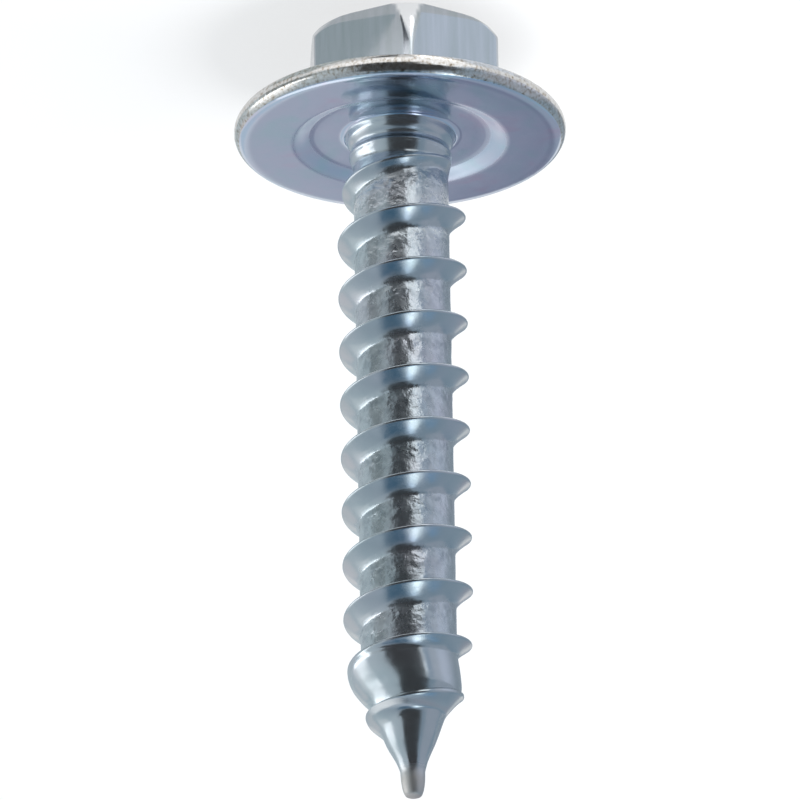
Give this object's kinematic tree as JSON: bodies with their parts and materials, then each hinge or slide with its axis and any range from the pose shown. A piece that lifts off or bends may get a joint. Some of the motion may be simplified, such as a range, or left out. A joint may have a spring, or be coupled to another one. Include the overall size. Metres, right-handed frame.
{
  "type": "hexagon flange wood screw",
  "caption": "Zinc-plated steel hinge screw with a hexagon flange head, a coarse right-hand wood thread and a gimlet point.",
  "frame": {"origin": "on the screw's axis, in the plane of the flat top of the head, on which the screw stands", "axes": "+Z along the screw's axis from the head to the point, -Y towards the hexagon corner that faces the picture"},
  "size_m": [0.0206, 0.0206, 0.0507],
  "materials": {
    "zinc_plated_steel": "bright zinc plating with a clear blue passivation, faintly iridescent on the flange"
  },
  "bodies": {
    "root": {"screw": "zinc_plated_steel"}
  },
  "joints": []
}
